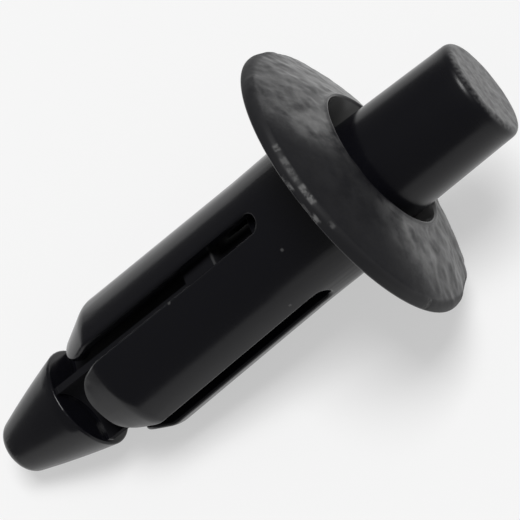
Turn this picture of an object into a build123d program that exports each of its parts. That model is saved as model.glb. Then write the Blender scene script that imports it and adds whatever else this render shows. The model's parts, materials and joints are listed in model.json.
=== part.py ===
from build123d import *
from math import asin, atan2, cos, degrees, hypot, radians, sin, sqrt
import os

# Plastic push rivet for an 8 mm hole, with its pin raised. Millimetres, +Z up.
# Sizes along the rivet are measured from the flat underside of the flange: positive towards
# the button, negative towards the legs. Those of the pin run along its own axis, which leans a
# little. The rivet lies on a surface at Z = 0, head towards +X, on the lower edge of its flange
# and on the two leg edges beside its bottom slot.

# ---- Sleeve: flange and recess ----
flange_dia = 16.3
flange_rim_height = 0.7
flange_height = 2.1
rim_top_round = 0.45
rim_bottom_round = 0.15
recess_dia = 8.0
recess_edge_round = 0.15
recess_floor = 0.3

# ---- Sleeve: barrel and legs ----
barrel_dia = 7.9
barrel_root_round = 0.25
flare_start = -5.0
leg_shoulder = -16.0
leg_shoulder_dia = 8.4
leg_shoulder_round = 1.4
leg_tip = -18.1
leg_tip_dia = 6.5
leg_edge_round = 0.18

# ---- Sleeve: slots between the legs ----
slot_width = 1.1
slot_head_end = -4.05
leg_corner_round = 1.2

# ---- Push pin: button, guide and neck ----
pin_guide_dia = 6.06
button_top = 8.45
button_dia = 5.6
button_edge_round = 0.5
button_draft_start = 1.2
guide_end = -5.0
neck_dia = 4.0
neck_root_round = 0.3

# ---- Push pin: locking collar and fluted shaft ----
collar_length = 2.05
shaft_dia = 5.8
flute_floor_across = 2.4    # between the floors of opposite flutes
ridge_width = 0.4           # of the shaft's skin left between two flutes
pin_edge_break = 0.12

# ---- Push pin: cone ----
cone_base = -19.65
cone_base_dia = 6.2
cone_base_round = 0.14
cone_tip = -25.35
cone_tip_dia = 3.0
cone_tip_round = 0.9
cone_belly = 0.07

# ---- Fits ----
pin_clearance = 0.35      # between the pin's guide and the bore, all round
lean_centre = -12.7       # place on the axis that the raised pin leans about
lean_gap = 0.05           # left between the leaning guide and the head end of the bore
lean_heading = 63.0       # degrees from straight down towards -Y, where the button leans
lip_height = 0.45         # of the thickened end inside each leg, in from the bore
lip_length = 1.2          # of that end
lip_ramp = 0.8            # length of the slope from the bore to the lip
collar_gap = 0.15         # left between the collar and the lip's slope with the pin pushed in

# ---- Worked out from the sizes above ----
bore_dia = pin_guide_dia + 2 * pin_clearance
lip_dia = bore_dia - 2 * lip_height
lip_top = leg_tip + lip_length
ramp_top = lip_top + lip_ramp
pin_travel = button_top - flange_height     # raised to flush with the flange
collar_tail_face = ramp_top + pin_travel + collar_gap
collar_head_face = collar_tail_face + collar_length
pin_lean = asin((pin_clearance - lean_gap) / (recess_floor - lean_centre))
barrel_wall = (barrel_dia - bore_dia) / 2
slot_edge_round = min(leg_edge_round, barrel_wall / 3)

# Lying pose. In a cut through the rivet's axis, the surface touches two arcs: the round of the
# flange's lower edge and the round of the legs' shoulder, beside the bottom slot. It is their
# common tangent, which sets the lean of the axis and the height of the flange.
chamfer_angle = atan2((leg_shoulder_dia - leg_tip_dia) / 2, leg_shoulder - leg_tip)
flare_angle = atan2((leg_shoulder_dia - barrel_dia) / 2, flare_start - leg_shoulder)
shoulder_turn = (chamfer_angle + flare_angle) / 2
shoulder_reach = leg_shoulder_round / cos(shoulder_turn)
shoulder_bisector = (chamfer_angle - flare_angle) / 2
shoulder_centre_s = leg_shoulder + shoulder_reach * sin(shoulder_bisector)
shoulder_centre_r = leg_shoulder_dia / 2 - shoulder_reach * cos(shoulder_bisector)
slot_edge_offset = slot_width / 2 + slot_edge_round
shoulder_sag = leg_shoulder_dia / 2 - sqrt((leg_shoulder_dia / 2) ** 2 - slot_edge_offset**2)
shoulder_depth = shoulder_centre_r - shoulder_sag
rim_centre_s = rim_bottom_round
rim_centre_r = flange_dia / 2 - rim_bottom_round
centre_run = rim_centre_s - shoulder_centre_s
centre_drop = rim_centre_r - shoulder_depth
centre_span = hypot(centre_run, centre_drop)
lean = atan2(centre_drop, centre_run) - asin((leg_shoulder_round - rim_bottom_round) / centre_span)
flange_lift = rim_centre_r * cos(lean) + rim_bottom_round - rim_centre_s * sin(lean)

# The row's origin lies on the surface, halfway between the ends of the rivet along X.
button_reach_s = button_top - button_edge_round
button_reach_r = button_dia / 2 - button_edge_round
head_reach = button_reach_s * cos(lean) + button_reach_r * sin(lean) + button_edge_round
tip_reach_s = cone_tip + cone_tip_round
tip_reach_r = cone_tip_dia / 2 - cone_tip_round
tail_reach = tip_reach_s * cos(lean) - tip_reach_r * sin(lean) - cone_tip_round
flange_shift = -(head_reach + tail_reach) / 2

# ---- Frame of the rivet ----
head_direction = Vector(cos(lean), 0, sin(lean))
down_direction = Vector(sin(lean), 0, -cos(lean))
side_direction = Vector(0, 1, 0)
flange_centre = Vector(flange_shift, 0, flange_lift)
rivet_axis = Axis(flange_centre, head_direction)
section_plane = Plane(flange_centre, x_dir=down_direction, z_dir=down_direction.cross(head_direction))

# The raised pin leans in its play, until only the gap named above is left between its guide and
# the head end of the bore. It slides along its own axis, so it stays clear as it goes in.
heading = radians(lean_heading)
lean_direction = down_direction * cos(heading) - side_direction * sin(heading)
pin_direction = head_direction * cos(pin_lean) + lean_direction * sin(pin_lean)
pin_down = (down_direction - pin_direction * down_direction.dot(pin_direction)).normalized()
pin_centre = flange_centre + (head_direction - pin_direction) * lean_centre
pin_axis = Axis(pin_centre, pin_direction)
pin_plane = Plane(pin_centre, x_dir=pin_down, z_dir=pin_down.cross(pin_direction))


def facing_plane(radial, distance=0):
    """Plane square to a radial direction: its X runs round the rivet, its Y along the axis."""
    return Plane(flange_centre + radial * distance, x_dir=head_direction.cross(radial), z_dir=radial)


def dome_height_at(radius):
    """Height of the spherical dome, which joins the rim to the edge of the recess."""
    rim, recess = flange_dia / 2, recess_dia / 2
    rise = 2 * (flange_height - flange_rim_height)
    centre = (recess**2 + flange_height**2 - rim**2 - flange_rim_height**2) / rise
    sphere = hypot(recess, flange_height - centre)
    return centre + sqrt(sphere**2 - radius**2)


def place_in_rivet(point):
    """Distance of a point along the rivet's axis, and its radius from the axis."""
    offset = point - flange_centre
    return offset.dot(head_direction), head_direction.cross(offset).length


def is_outer_slot_edge(edge):
    """True for an edge where a slot breaks the outside of a leg, and not the bore or a tip."""
    start_radius = place_in_rivet(edge @ 0)[1]
    end_radius = place_in_rivet(edge @ 1)[1]
    middle, middle_radius = place_in_rivet(edge @ 0.5)
    runs_round = edge.geom_type == GeomType.CIRCLE
    crosses_wall = edge.geom_type == GeomType.LINE and abs(start_radius - end_radius) > slot_edge_round
    outside = middle_radius > bore_dia / 2 + slot_edge_round / 2
    return outside and middle < slot_head_end - slot_edge_round and not runs_round and not crosses_wall


# ---- Sleeve: one moulding ----
with BuildPart() as sleeve:
    with BuildSketch(section_plane) as sleeve_section:
        dome_middle = (flange_dia + recess_dia) / 4
        with BuildLine():
            ThreePointArc(
                (recess_dia / 2, flange_height),
                (dome_middle, dome_height_at(dome_middle)),
                (flange_dia / 2, flange_rim_height),
            )
            Polyline(
                (flange_dia / 2, flange_rim_height),
                (flange_dia / 2, 0),
                (barrel_dia / 2, 0),
                (barrel_dia / 2, flare_start),
                (leg_shoulder_dia / 2, leg_shoulder),
                (leg_tip_dia / 2, leg_tip),
                (lip_dia / 2, leg_tip),
                (lip_dia / 2, lip_top),
                (bore_dia / 2, ramp_top),
                (bore_dia / 2, recess_floor),
                (recess_dia / 2, flange_height),
            )
        make_face()
        section_corners = [
            (flange_dia / 2, flange_rim_height, rim_top_round),
            (flange_dia / 2, 0, rim_bottom_round),
            (barrel_dia / 2, 0, barrel_root_round),
            (leg_shoulder_dia / 2, leg_shoulder, leg_shoulder_round),
            (recess_dia / 2, flange_height, recess_edge_round),
        ]
        for corner_r, corner_s, radius in section_corners:
            fillet(sleeve_section.vertices().sort_by_distance((corner_r, corner_s))[0], radius)
    revolve(axis=rivet_axis)

    # Two crossed cuts part the barrel into four legs. Each has a round head end, and opens out
    # at the leg tips, which rounds the corners of the legs.
    slot_round_start = slot_head_end - slot_width / 2
    corner_start = leg_tip + leg_corner_round
    corner_reach = slot_width / 2 + leg_corner_round
    past_tips = leg_tip - leg_corner_round
    for radial in (down_direction, side_direction):
        with BuildSketch(facing_plane(radial)):
            with BuildLine():
                TangentArc((0, slot_head_end), (slot_width / 2, slot_round_start), tangent=(1, 0))
                Line((slot_width / 2, slot_round_start), (slot_width / 2, corner_start))
                TangentArc((slot_width / 2, corner_start), (corner_reach, leg_tip), tangent=(0, -1))
                Polyline((corner_reach, leg_tip), (corner_reach, past_tips), (0, past_tips))
                mirror(about=Plane.YZ)
            make_face()
        extrude(amount=leg_shoulder_dia, both=True, mode=Mode.SUBTRACT)
    fillet(sleeve.edges().filter_by(is_outer_slot_edge), slot_edge_round)
sleeve.part.label = "sleeve"

# ---- Push pin: one moulding ----
cone_middle_dia = (cone_base_dia + cone_tip_dia) / 2 + 2 * cone_belly
with BuildPart() as push_pin:
    with BuildSketch(pin_plane) as pin_section:
        with BuildLine():
            Polyline(
                (0, cone_tip),
                (0, button_top),
                (button_dia / 2, button_top),
                (pin_guide_dia / 2, button_draft_start),
                (pin_guide_dia / 2, guide_end),
                (neck_dia / 2, guide_end),
                (neck_dia / 2, collar_head_face),
                (pin_guide_dia / 2, collar_head_face),
                (pin_guide_dia / 2, collar_tail_face),
                (shaft_dia / 2, collar_tail_face),
                (shaft_dia / 2, cone_base),
                (cone_base_dia / 2, cone_base),
            )
            ThreePointArc(
                (cone_base_dia / 2, cone_base),
                (cone_middle_dia / 2, (cone_base + cone_tip) / 2),
                (cone_tip_dia / 2, cone_tip),
            )
            Line((cone_tip_dia / 2, cone_tip), (0, cone_tip))
        make_face()
        section_corners = [
            (button_dia / 2, button_top, button_edge_round),
            (neck_dia / 2, guide_end, neck_root_round),
            (neck_dia / 2, collar_head_face, neck_root_round),
            (pin_guide_dia / 2, guide_end, pin_edge_break),
            (pin_guide_dia / 2, collar_head_face, pin_edge_break),
            (cone_base_dia / 2, cone_base, cone_base_round),
            (cone_tip_dia / 2, cone_tip, cone_tip_round),
        ]
        for corner_r, corner_s, radius in section_corners:
            fillet(pin_section.vertices().sort_by_distance((corner_r, corner_s))[0], radius)
    revolve(axis=pin_axis)

    # Four flutes face the legs, so the legs have room to fold in. They leave four narrow ridges
    # on the shaft, in line with the slots.
    ridge_end = Vector(shaft_dia / 2, 0).rotate(Axis.Z, 45 - degrees(asin(ridge_width / shaft_dia)))
    floor_to_end = ridge_end.X - flute_floor_across / 2
    flute_radius = (floor_to_end**2 + ridge_end.Y**2) / (2 * floor_to_end)
    flute_distance = flute_floor_across / 2 + flute_radius
    with BuildSketch(Plane(pin_centre + pin_direction * cone_base, pin_down, pin_direction)):
        with PolarLocations(flute_distance, 4, start_angle=45):
            Circle(flute_radius)
    extrude(amount=collar_tail_face - cone_base, mode=Mode.SUBTRACT)
push_pin.part.label = "push_pin"

os.makedirs("parts", exist_ok=True)
export_step(sleeve.part, "parts/sleeve.step")
export_step(push_pin.part, "parts/push_pin.step")
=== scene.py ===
# Plastic push rivet of two black mouldings: a four-legged sleeve and the pin that locks it.
# It lies on a pale table on the lower edge of its flange and on two leg edges, pin raised.
import json
import math

import bpy
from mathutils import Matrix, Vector


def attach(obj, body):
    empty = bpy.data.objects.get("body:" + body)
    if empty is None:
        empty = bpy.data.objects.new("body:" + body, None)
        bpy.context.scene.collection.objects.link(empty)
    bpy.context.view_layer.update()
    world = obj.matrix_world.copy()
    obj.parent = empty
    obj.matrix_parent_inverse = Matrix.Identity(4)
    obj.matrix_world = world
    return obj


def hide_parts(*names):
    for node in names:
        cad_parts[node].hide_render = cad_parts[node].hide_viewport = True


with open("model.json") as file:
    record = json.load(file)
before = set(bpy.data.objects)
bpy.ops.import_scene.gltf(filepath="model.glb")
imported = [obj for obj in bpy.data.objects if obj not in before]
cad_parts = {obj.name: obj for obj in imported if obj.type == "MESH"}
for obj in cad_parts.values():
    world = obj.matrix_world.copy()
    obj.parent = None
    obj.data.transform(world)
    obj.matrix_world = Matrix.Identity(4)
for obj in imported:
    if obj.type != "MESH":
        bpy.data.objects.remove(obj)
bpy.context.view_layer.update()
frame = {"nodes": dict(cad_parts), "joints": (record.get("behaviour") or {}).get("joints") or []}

# ---- Sleeve ----
# One injection moulding in black nylon: a domed flange with a recess for the button, a barrel
# that fills an 8 mm hole, and four legs that fold in round the pin. The dome has the coarse
# wrinkle of a spark-eroded mould, rubbed down on one side, and its rim there is scuffed, with a
# highlight painted in along the scuffs.
mm = 0.001
nose_down = math.radians(14.0913)
flange_centre = Vector((7.9948, 0, 7.87275)) * mm

# Sizes in mm: out from the sleeve's axis, or headward along it from the flange's underside.
barrel_out = 3.95
bore_out = 3.38
flange_out = 8.15
rim_height = 0.7
flange_height = 2.1
recess_out = 4.0
recess_floor = 0.3
dome_radius = 19.131
dome_centre = -16.608
barrel_root_round = 0.25
rim_bottom_round = 0.15
rim_top_round = 0.45
recess_round = 0.12
sleeve_cut = -0.31
sleeve_start = -0.28


class AxisLine:
    """A moulding's axis: sizes run along it towards the head, out from it, and round it."""

    def __init__(self, centre, headward):
        vertical = Vector((0, 0, 1))
        self.centre = centre
        self.headward = headward.normalized()
        self.upward = (vertical - self.headward * self.headward.dot(vertical)).normalized()
        self.sideward = self.headward.cross(self.upward)

    def point(self, along, out):
        """The point above the axis, mm along it and mm out from it."""
        return self.centre + (self.headward * along + self.upward * out) * mm

    def place(self, point):
        """How far a point is along and out, in mm, and its turn from the top in degrees."""
        offset = (point - self.centre) / mm
        turn = math.atan2(offset.dot(self.sideward), offset.dot(self.upward))
        return offset.dot(self.headward), self.headward.cross(offset).length, math.degrees(turn)


def pick(shape):
    """Makes a shape the only selected and active one."""
    bpy.ops.object.select_all(action="DESELECT")
    shape.select_set(True)
    bpy.context.view_layer.objects.active = shape


def work_on(shape):
    """Opens one shape in edit mode, with all of its mesh selected."""
    pick(shape)
    bpy.ops.object.mode_set(mode="EDIT")
    bpy.ops.mesh.select_mode(type="VERT")
    bpy.ops.mesh.select_all(action="SELECT")


def rounded_outline(corners, arc_steps):
    """Turns corners of (along, out, round, longest step to the next) into a fine outline."""
    points = []
    steps = []
    for index, (along, out, radius, step) in enumerate(corners):
        corner = Vector((along, out))
        if radius == 0:
            points.append(corner)
            steps.append(step)
            continue
        back = (Vector(corners[index - 1][:2]) - corner).normalized()
        ahead = (Vector(corners[index + 1][:2]) - corner).normalized()
        half_angle = back.angle(ahead) / 2
        centre = corner + (back + ahead).normalized() * radius / math.sin(half_angle)
        tangent = radius / math.tan(half_angle)
        first = (corner + back * tangent - centre).normalized()
        last = (corner + ahead * tangent - centre).normalized()
        for turn in range(arc_steps + 1):
            points.append(centre + first.slerp(last, turn / arc_steps) * radius)
            steps.append(step)
    outline = [points[0]]
    for start, end, step in zip(points, points[1:], steps):
        count = max(1, round((end - start).length / step))
        outline += [start.lerp(end, part / count) for part in range(1, count + 1)]
    return outline


def spun_on(line, name, outline, columns, seam_gap=0.002):
    """Draws an outline from a single vertex, spins it once round an axis and closes the seam."""
    bpy.ops.object.select_all(action="DESELECT")
    bpy.ops.mesh.primitive_plane_add(size=mm, location=line.point(*outline[0]))
    shape = bpy.context.object
    shape.name = name
    bpy.ops.object.transform_apply(location=True, rotation=True, scale=True)
    work_on(shape)
    bpy.ops.mesh.merge(type="CENTER")
    for start, end in zip(outline, outline[1:]):
        step = line.point(*end) - line.point(*start)
        bpy.ops.mesh.extrude_region_move(TRANSFORM_OT_translate={"value": step})
    bpy.ops.mesh.select_all(action="SELECT")
    bpy.ops.mesh.spin(steps=columns, angle=math.tau, center=line.centre, axis=line.headward)
    bpy.ops.mesh.select_all(action="SELECT")
    bpy.ops.mesh.remove_doubles(threshold=seam_gap * mm)
    bpy.ops.object.mode_set(mode="OBJECT")
    return shape


def tail_of_solid(line, name, node, cut_along, same_point=0.001, flat_degrees=0.5):
    """Copies a solid, keeps its tail end, and merges its triangles into clean faces."""
    shape = frame["nodes"][node].copy()
    shape.data = shape.data.copy()
    shape.name = name
    shape.parent = None
    shape.data.materials.clear()
    bpy.context.collection.objects.link(shape)
    work_on(shape)
    bpy.ops.mesh.customdata_custom_splitnormals_clear()
    bpy.ops.mesh.remove_doubles(threshold=same_point * mm)
    bpy.ops.mesh.select_all(action="SELECT")
    bpy.ops.mesh.bisect(
        plane_co=line.point(cut_along, 0),
        plane_no=line.headward,
        threshold=same_point * mm,
        clear_outer=True,
    )
    bpy.ops.mesh.select_all(action="SELECT")
    flat = math.radians(flat_degrees)
    bpy.ops.mesh.dissolve_limited(angle_limit=flat, use_dissolve_boundaries=True)
    bpy.ops.object.mode_set(mode="OBJECT")
    return shape


def joined(line, tail, head, rings, reach_along=0.012, reach_out=0.1):
    """Joins the two ends of a moulding, with a band of faces from ring to ring."""
    pick(tail)
    head.select_set(True)
    bpy.ops.object.join()
    for ring_out, *ring_alongs in rings:
        work_on(tail)
        bpy.ops.mesh.select_all(action="DESELECT")
        bpy.ops.object.mode_set(mode="OBJECT")
        for vertex in tail.data.vertices:
            along, out, _ = line.place(vertex.co)
            on_ring = any(abs(along - ring_along) < reach_along for ring_along in ring_alongs)
            vertex.select = on_ring and abs(out - ring_out) < reach_out
        bpy.ops.object.mode_set(mode="EDIT")
        bpy.ops.mesh.bridge_edge_loops()
        bpy.ops.object.mode_set(mode="OBJECT")
    work_on(tail)
    bpy.ops.mesh.normals_make_consistent(inside=False)
    bpy.ops.object.mode_set(mode="OBJECT")
    return tail


def ramp(value, low, high):
    """0 up to low, 1 from high on, and an even rise between them."""
    return min(1, max(0, (value - low) / (high - low)))


def window(value, low, high, fade):
    """1 between low and high, and 0 once past them by the fade."""
    return ramp(value, low - fade, low) * (1 - ramp(value, high, high + fade))


def sink_pattern(line, shape, name, rule, size, depth, detail):
    """Sinks a pattern into the surface, as deep as the rule says from place to place."""
    group = shape.vertex_groups.new(name=name)
    for vertex in shape.data.vertices:
        weight = rule(*line.place(vertex.co))
        if weight > 0:
            group.add([vertex.index], weight, "REPLACE")
    pattern = bpy.data.textures.new(name, "CLOUDS")
    pattern.noise_scale = size * mm
    pattern.noise_depth = detail
    pick(shape)
    relief = shape.modifiers.new(name, "DISPLACE")
    relief.texture = pattern
    relief.texture_coords = "LOCAL"
    relief.vertex_group = name
    relief.mid_level = 1
    relief.strength = depth * mm
    bpy.ops.object.modifier_apply(modifier=name)
    shape.vertex_groups.clear()


def smooth(shape, corner_degrees=32, flat_share=60):
    """Smooths the rounds, keeps the corners crisp, and lets the large faces set the shading."""
    pick(shape)
    bpy.ops.object.shade_smooth_by_angle(angle=math.radians(corner_degrees))
    weighted = shape.modifiers.new("weighted", "WEIGHTED_NORMAL")
    weighted.keep_sharp = True
    weighted.weight = flat_share
    bpy.ops.object.modifier_apply(modifier=weighted.name)


def dome_along(out):
    """Height of the spherical dome at a distance from the axis."""
    return dome_centre + math.sqrt(dome_radius**2 - out**2)


# The outline's corners are (along, out, round, longest step to the next). The dome is drawn in
# rows from near the rim to near the recess, counted in tenths of a mm out.
sleeve_line = AxisLine(flange_centre, Vector((math.cos(nose_down), 0, math.sin(nose_down))))
dome_step = 0.065
dome_rows = [(dome_along(row / 10), row / 10, 0, dome_step) for row in range(78, 42, -3)]
sleeve_outline = rounded_outline(
    [
        (sleeve_start, barrel_out, 0, 0.1),
        (0, barrel_out, barrel_root_round, 0.3),
        (0, flange_out, rim_bottom_round, 0.07),
        (rim_height, flange_out, rim_top_round, dome_step),
        *dome_rows,
        (flange_height, recess_out, recess_round, 0.1),
        (recess_floor, bore_out, 0, 0.15),
        (sleeve_start, bore_out, 0, 0.1),
    ],
    arc_steps=6,
)
sleeve = joined(
    sleeve_line,
    tail_of_solid(sleeve_line, "sleeve_moulding", "sleeve", sleeve_cut),
    spun_on(sleeve_line, "sleeve_head", sleeve_outline, columns=480),
    rings=[(barrel_out, sleeve_cut, sleeve_start), (bore_out, sleeve_cut, sleeve_start)],
)

# The dome's relief, and then its finish, begin between these heights and distances out.
dome_relief = {"along": (0.25, 0.60), "out": (4.10, 4.40)}
dome_finish = {"along": (0.50, 0.80), "out": (4.05, 4.30)}

# The side of the dome that has been handled lies between two borders, in degrees of turn. Each
# fades over some degrees, at one distance out, and slants by so many degrees a mm.
first_border = {"fade": (-28, -4), "out": 8, "slant": -6}
last_border = {"fade": (28, 72), "out": 4, "slant": 10}
most_rubbed = 0.9


def straightened(border, out, turn):
    """The turn that counts at a slanting border. It works on numbers and on wires."""
    return turn - (out - border["out"]) * border["slant"]


def on_dome(along, out, turn):
    """Most of the relief is left on the dome, but little of it on the handled side."""
    begun = ramp(straightened(first_border, out, turn), *first_border["fade"])
    ended = ramp(straightened(last_border, out, turn), *last_border["fade"])
    rubbed = most_rubbed * begun * (1 - ended)
    return ramp(along, *dome_relief["along"]) * ramp(out, *dome_relief["out"]) * (1 - rubbed)


# Each scuff on the rim runs over some degrees of turn, between two heights in mm. The streaks are
# dented, and the grey painted into them is partly wear and partly a painted highlight, most of all
# along the rim's top round.
scuffs_and_highlights = [
    {"turn": (0.8, 1.8), "along": (0.54, 0.68), "greying": 1.2},
    {"turn": (6, 14), "along": (0.52, 0.68), "greying": 0.8},
    {"turn": (17.5, 23.5), "along": (0.52, 0.68), "greying": 1.3},
    {"turn": (11.5, 16), "along": (0.06, 0.20), "greying": 1.3},
    {"turn": (22, 26.5), "along": (0.02, 0.14), "greying": 0.5},
    {"turn": (27.5, 29.5), "along": (0.04, 0.26), "greying": 1.3},
    {"turn": (33, 34), "along": (0.54, 0.62), "greying": 0.6},
    {"turn": (84.5, 85.5), "along": (0.10, 0.65), "greying": 1.0},
]
scuff_dent = {"out": (7.6, 7.9), "along_fade": 0.08, "turn_fade": 1.2}
scuff_highlight_mark = {"out": (7.7, 7.9), "along_fade": 0.10, "turn_fade": 1.4}


def on_scuffs(along, out, turn):
    """The scuffs are dented into the rim's face."""
    dents = [
        window(along, *scuff["along"], scuff_dent["along_fade"])
        * window(turn, *scuff["turn"], scuff_dent["turn_fade"])
        for scuff in scuffs_and_highlights
    ]
    return ramp(out, *scuff_dent["out"]) * max(dents)


sink_pattern(sleeve_line, sleeve, "swell", on_dome, size=1.8, depth=0.15, detail=0)
sink_pattern(sleeve_line, sleeve, "wrinkle", on_dome, size=0.8, depth=0.11, detail=1)
sink_pattern(sleeve_line, sleeve, "scuffs_and_highlights", on_scuffs, size=0.2, depth=0.04, detail=1)
smooth(sleeve)


class Wire:
    """One output of a shader node. Sums and products of wires add the nodes that work them out."""

    def __init__(self, tree, socket=None):
        self.tree = tree
        self.socket = socket

    def node(self, kind, settings, inputs, output=0):
        """Adds a node: its settings come first, then the values or wires of its sockets."""
        made = self.tree.nodes.new(kind)
        for setting, value in settings.items():
            setattr(made, setting, value)
        for name, value in inputs.items():
            if isinstance(value, Wire):
                self.tree.links.new(value.socket, made.inputs[name])
            else:
                made.inputs[name].default_value = value
        return Wire(self.tree, made.outputs[output])

    def math(self, operation, *values):
        return self.node("ShaderNodeMath", {"operation": operation}, dict(enumerate(values)))

    def dot(self, direction):
        settings = {"operation": "DOT_PRODUCT"}
        return self.node("ShaderNodeVectorMath", settings, {0: self, 1: direction}, "Value")

    def rise(self, low, high):
        """0 up to low, 1 from high on, with a soft rise between; low may be the higher one."""
        settings = {"interpolation_type": "SMOOTHSTEP"}
        inputs = {"Value": self, "From Min": low, "From Max": high}
        return self.node("ShaderNodeMapRange", settings, inputs)

    def band(self, low, high, fade):
        """1 between low and high, and softly down to 0 once past them by the fade."""
        return self.rise(low - fade, low) * (1 - self.rise(high, high + fade))

    def noise(self, size, detail):
        """Noise with lumps about so many mm across, on a place in mm."""
        inputs = {"Vector": self, "Scale": 1 / size, "Detail": detail}
        return self.node("ShaderNodeTexNoise", {}, inputs)

    def patches(self, size, detail, low, high):
        """Noise made into patches: none where it is below low, and full where above high."""
        return self.noise(size, detail).rise(low, high)

    def __add__(self, other):
        return self.math("ADD", self, other)

    def __sub__(self, other):
        return self.math("SUBTRACT", self, other)

    def __radd__(self, other):
        return self.math("ADD", other, self)

    def __rsub__(self, other):
        return self.math("SUBTRACT", other, self)

    def __mul__(self, other):
        return self.math("MULTIPLY", self, other)

    __rmul__ = __mul__


class Plastic:
    """A plastic's material, with the place on the rivet that its patterns are drawn from."""

    gloss_index = 1.34

    def __init__(self, name, line):
        self.material = bpy.data.materials.new(name)
        self.material.use_nodes = True
        self.tree = self.material.node_tree
        self.shader = self.tree.nodes["Principled BSDF"]
        start = Wire(self.tree)
        shift = {"operation": "SUBTRACT"}
        grow = {"operation": "SCALE"}
        whole = start.node("ShaderNodeTexCoord", {}, {}, "Object")
        offset = start.node("ShaderNodeVectorMath", shift, {0: whole, 1: line.centre})
        self.place = start.node("ShaderNodeVectorMath", grow, {0: offset, "Scale": 1 / mm})
        self.along = self.place.dot(line.headward)
        above = self.place.dot(line.upward)
        beside = self.place.dot(line.sideward)
        self.out = start.math("SQRT", above * above + beside * beside)
        self.turn = start.math("ARCTAN2", beside, above) * math.degrees(1)
        self.grain = self.place.noise(size=0.07, detail=3)
        self.mottle = self.place.noise(size=0.9, detail=3)

    def paint(self, base, grey_colour, greying, roughness, relief):
        """Links what varies: colour from base to grey, for wear and for some painted light,
        roughness, and relief in mm.
        """
        start = Wire(self.tree)
        base_socket, grey_socket, colour_output = 6, 7, 2
        colour = start.node(
            "ShaderNodeMix",
            {"data_type": "RGBA"},
            {"Factor": greying, base_socket: base, grey_socket: grey_colour},
            colour_output,
        )
        heights = {"Height": relief, "Strength": 1.0, "Distance": mm}
        bump = start.node("ShaderNodeBump", {}, heights)
        for name, wire in (("Base Color", colour), ("Roughness", roughness), ("Normal", bump)):
            self.tree.links.new(wire.socket, self.shader.inputs[name])
        self.shader.inputs["IOR"].default_value = self.gloss_index


# Specks of dust that cling to the barrel, each at a height in mm and a turn in degrees.
specks = [
    {"along": -3.75, "turn": 32.1},
    {"along": -10.41, "turn": 9.5},
    {"along": -5.76, "turn": 71.3},
]
speck_half_length = 0.03
speck_half_turn = 0.4
speck_wear = 0.5

# Where the rim and the recess's wall have a finish of their own, in mm: both are greyed to paint
# in light that falls on them, and the rim is made matt too.
rim_band = {"along": (0.15, 0.7), "fade": 0.1, "out": (7.6, 8.0)}
recess_band = {"along": (0.5, 1.9), "fade": 0.15, "out": (3.4, 3.95), "out_fade": 0.05}
greying_thins_out = (8.0, 5.5)

# Shares of 1 by which each finish turns the black towards grey, and adds to roughness. The
# recess's and the rim's greying is painted light, and the scuffs' greying is partly a painted
# highlight.
nylon_black = (0.0042, 0.0042, 0.0060, 1)
sleeve_grey = (0.14, 0.14, 0.14, 1)
sleeve_greying = {"chalk": 0.12, "greyer_near_recess": 0.85, "recess": 0.8, "rim": 0.05, "scuffs_and_highlights": 0.75}
sleeve_rough = {"plain": 0.16, "mottle": 0.08, "wrinkle": 0.10, "matt": 0.5, "scuffs_and_highlights": 0.4}
sleeve_bump = {"grain": 0.0010, "wrinkle_grain": 0.002, "smear": 0.008}
rim_matt = 0.7

sleeve_black = Plastic("sleeve_black", sleeve_line)
place = sleeve_black.place
along = sleeve_black.along
out = sleeve_black.out
turn = sleeve_black.turn

dome = along.rise(*dome_finish["along"]) * out.rise(*dome_finish["out"])
begun = straightened(first_border, out, turn).rise(*first_border["fade"])
ended = straightened(last_border, out, turn).rise(*last_border["fade"])
handled = begun * (1 - ended)
wrinkled = dome * (1 - handled * most_rubbed)

# The streaks are greyed: partly real scuffs, partly a painted highlight along the rim's rounded
# edges, where roughness is raised so the lamp leaves no glint of its own.
scuff_highlight_marks = [
    along.band(*scuff["along"], scuff_highlight_mark["along_fade"])
    * turn.band(*scuff["turn"], scuff_highlight_mark["turn_fade"])
    * scuff["greying"]
    for scuff in scuffs_and_highlights
]
broken_up = place.patches(size=0.28, detail=3, low=0.36, high=0.62)
scuffed_and_highlit = sum(scuff_highlight_marks) * broken_up * out.rise(*scuff_highlight_mark["out"])

dots = [
    along.band(speck["along"] - speck_half_length, speck["along"] + speck_half_length, fade=0.08)
    * turn.band(speck["turn"] - speck_half_turn, speck["turn"] + speck_half_turn, fade=1.2)
    for speck in specks
]
specked = sum(dots) * speck_wear

fine_chalk = place.patches(size=0.16, detail=2, low=0.40, high=0.72)
broad_chalk = place.patches(size=0.7, detail=3, low=0.40, high=0.65)
chalk = (fine_chalk + broad_chalk) * wrinkled
# The rim's face is greyed a little, a painted light for the light it catches, and it is made matt.
rim = along.band(*rim_band["along"], rim_band["fade"]) * out.rise(*rim_band["out"])
matt = place.math("MAXIMUM", dome * handled, rim * rim_matt)
# The recess's wall is greyed all round, a painted light that stands in for the light falling on
# its far wall.
recess_wall_light = along.band(*recess_band["along"], recess_band["fade"]) * out.band(
    *recess_band["out"], recess_band["out_fade"]
)
# The wrinkled dome is greyed in patches, fully within 5.5 mm of the axis and fading out by 8 mm,
# and little on the handled side.
greying_patches = place.patches(size=1.1, detail=2, low=0.30, high=0.70)
greyer_near_recess = wrinkled * out.rise(*greying_thins_out) * greying_patches
smear = place.noise(size=2.2, detail=2)

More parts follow.
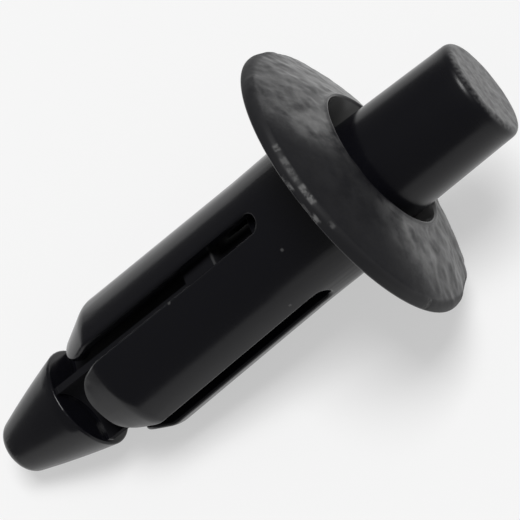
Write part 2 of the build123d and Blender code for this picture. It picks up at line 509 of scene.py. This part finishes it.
sleeve_black.paint(
    base=nylon_black,
    grey_colour=sleeve_grey,
    greying=(
        chalk * sleeve_greying["chalk"]
        + greyer_near_recess * sleeve_greying["greyer_near_recess"]
        + recess_wall_light * sleeve_greying["recess"]
        + rim * sleeve_greying["rim"]
        + scuffed_and_highlit * sleeve_greying["scuffs_and_highlights"]
        + specked
    ),
    roughness=(
        sleeve_rough["plain"]
        + sleeve_black.mottle * sleeve_rough["mottle"]
        + wrinkled * sleeve_rough["wrinkle"]
        + matt * sleeve_rough["matt"]
        + scuffed_and_highlit * sleeve_rough["scuffs_and_highlights"]
    ),
    relief=(
        sleeve_black.grain * (sleeve_bump["grain"] + wrinkled * sleeve_bump["wrinkle_grain"])
        + smear * sleeve_bump["smear"]
    ),
)
sleeve.data.materials.append(sleeve_black.material)
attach(sleeve, "sleeve_body")
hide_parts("sleeve")

# ---- Push pin ----
# One moulding in the same black nylon, pushed in from the head: a button with a spark-eroded
# end, a guide, a neck, a locking collar, a fluted shaft and the cone that leads it in. While it
# is raised it leans in its play, so it has an axis of its own, which it slides along.

# Sizes in mm: out from the pin's axis, or headward along it from the flange's underside. The
# two axes cross at the lean's centre.
pin_cut = 1.0
pin_start = 1.04
guide_out = 3.03
draft_start = 1.2
button_out = 2.8
button_top = 8.45
button_round = 0.5
lean_centre = -12.7

button_outline = rounded_outline(
    [
        (pin_start, guide_out, 0, 0.1),
        (draft_start, guide_out, 0, 0.2),
        (button_top, button_out, button_round, 0.07),
        (button_top, 0, 0, 0.07),
    ],
    arc_steps=10,
)
slide = next(joint for joint in frame["joints"] if joint["name"] == "pin_slide")
pin_headward = -Vector(slide["axis"]).normalized()
pin_centre = flange_centre + (sleeve_line.headward - pin_headward) * lean_centre * mm
pin_line = AxisLine(pin_centre, pin_headward)
push_pin = joined(
    pin_line,
    tail_of_solid(pin_line, "pin_moulding", "push_pin", pin_cut),
    spun_on(pin_line, "button", button_outline, columns=256),
    rings=[(guide_out, pin_cut, pin_start)],
)

button_relief = {"along": (8.20, 8.44), "out": (2.35, 2.75)}


def on_button_end(along, out, turn):
    """The button's end is rough up to its rounded edge."""
    return ramp(along, *button_relief["along"]) * (1 - ramp(out, *button_relief["out"]))


sink_pattern(pin_line, push_pin, "swell", on_button_end, size=0.9, depth=0.05, detail=1)
smooth(push_pin)

# Where the pin's finish changes, in mm: worn edges at the guide's tail and the collar's head,
# greyed to paint in the glint they catch, a dull stretch inside the sleeve, and the last of the
# button, which is a little duller.
guide_edge = (-5.04, -4.98)
collar_edge = (-7.65, -7.58)
edge_fade = 0.04
edge_out = (2.8, 2.9)
inside_sleeve = (-19.4, -5.0)
inside_fade = 0.1
button_end_starts = (8.2, 8.4)
button_dulls = (7.0, 8.2)

pin_grey = (0.30, 0.30, 0.30, 1)
pin_greying = {"chalk": 0.28, "edges": 0.12}
pin_rough = {"plain": 0.18, "mottle": 0.08, "inside": 0.75, "button": 0.10}
pin_bump = {"grain": 0.0005, "end_grain": 0.0025, "smear": 0.006}

pin_black = Plastic("pin_black", pin_line)
place = pin_black.place
along = pin_black.along
out = pin_black.out

button_end = along.rise(*button_end_starts)
chalk = place.patches(size=0.3, detail=3, low=0.30, high=0.70) * button_end
# The guide's and the collar's edges are greyed: partly wear, partly a painted glint.
thin_edges = along.band(*guide_edge, edge_fade) + along.band(*collar_edge, edge_fade)
edges = thin_edges * out.rise(*edge_out)
inside = along.band(*inside_sleeve, inside_fade)
smear = place.noise(size=1.8, detail=2)

pin_black.paint(
    base=nylon_black,
    grey_colour=pin_grey,
    greying=chalk * pin_greying["chalk"] + edges * pin_greying["edges"],
    roughness=(
        pin_rough["plain"]
        + pin_black.mottle * pin_rough["mottle"]
        + inside * pin_rough["inside"]
        + along.rise(*button_dulls) * pin_rough["button"]
    ),
    relief=(
        pin_black.grain * (pin_bump["grain"] + button_end * pin_bump["end_grain"])
        + smear * pin_bump["smear"]
    ),
)
push_pin.data.materials.append(pin_black.material)
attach(push_pin, "pin_body")
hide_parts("push_pin")

# ---- Table and lamp ----
# A round table top in matt white paint, which the rivet lies on. One soft square lamp hangs
# high over it, and a dim even light comes in from the room all round. Lengths are in metres.
bpy.ops.object.select_all(action="DESELECT")
bpy.ops.mesh.primitive_circle_add(vertices=96, radius=1.3, fill_type="NGON")
table = bpy.context.object
table.name = "table"


def white_to_the_eye(name, colour, share):
    """A matt paint that is partly plain white where it is seen or reflected, by a share of 1."""
    paint = bpy.data.materials.new(name)
    paint.use_nodes = True
    tree = paint.node_tree
    tree.nodes.clear()
    start = Wire(tree)
    seen = start.node("ShaderNodeLightPath", {}, {}, "Is Camera Ray")
    rays = seen.socket.node.outputs
    for ray in ("Is Glossy Ray", "Is Transmission Ray"):
        seen = seen.math("MAXIMUM", seen, Wire(tree, rays[ray]))
    white = start.node("ShaderNodeEmission", {}, {"Color": (1, 1, 1, 1), "Strength": 1.0})
    matt = start.node("ShaderNodeBsdfDiffuse", {}, {"Color": (colour, colour, colour, 1)})
    surface = start.node("ShaderNodeMixShader", {}, {0: seen * share, 1: matt, 2: white})
    ending = tree.nodes.new("ShaderNodeOutputMaterial")
    tree.links.new(surface.socket, ending.inputs["Surface"])
    return paint


table.data.materials.append(white_to_the_eye("table_paint", colour=0.93, share=0.5))


def hang_lamp(name, elevation, azimuth, distance, size, power):
    """A square soft lamp aimed at the rivet from a direction given in degrees."""
    height, heading = math.radians(elevation), math.radians(azimuth)
    toward = Vector((
        math.cos(height) * math.cos(heading),
        math.cos(height) * math.sin(heading),
        math.sin(height),
    ))
    bpy.ops.object.select_all(action="DESELECT")
    bpy.ops.object.light_add(type="AREA", location=toward * distance)
    lamp = bpy.context.object
    lamp.name = name
    lamp.data.shape = "SQUARE"
    lamp.data.size = size
    lamp.data.energy = power
    lamp.rotation_mode = "QUATERNION"
    lamp.rotation_quaternion = (-toward).to_track_quat("-Z", "Y")
    lamp.visible_camera = False


hang_lamp("overhead", elevation=72, azimuth=20, distance=3.2, size=1.3, power=80)

room_light = 0.2
room = bpy.data.worlds.new("room")
bpy.context.scene.world = room
room.use_nodes = True
room.node_tree.nodes["Background"].inputs["Color"].default_value = (1, 1, 1, 1)
room.node_tree.nodes["Background"].inputs["Strength"].default_value = room_light

# ---- Camera ----
# It looks steeply down on the rivet from about 95 mm away, in front of it and a little towards
# the button. Its focal length is given in widths of the square frame.
camera_place = Vector((16.6594, -37.2937, 85.4135)) * mm
camera_turn = (17.0152, 21.1735, -27.6813)
focal_widths = 1700 / 520
nearest = 0.005
furthest = 10

camera_lens = bpy.data.cameras.new("camera")
camera = bpy.data.objects.new("camera", camera_lens)
bpy.context.collection.objects.link(camera)
camera.location = camera_place
camera.rotation_euler = [math.radians(angle) for angle in camera_turn]
camera_lens.lens = focal_widths * camera_lens.sensor_width
camera_lens.clip_start = nearest
camera_lens.clip_end = furthest
bpy.context.scene.camera = camera
bpy.context.scene.view_settings.view_transform = "Standard"
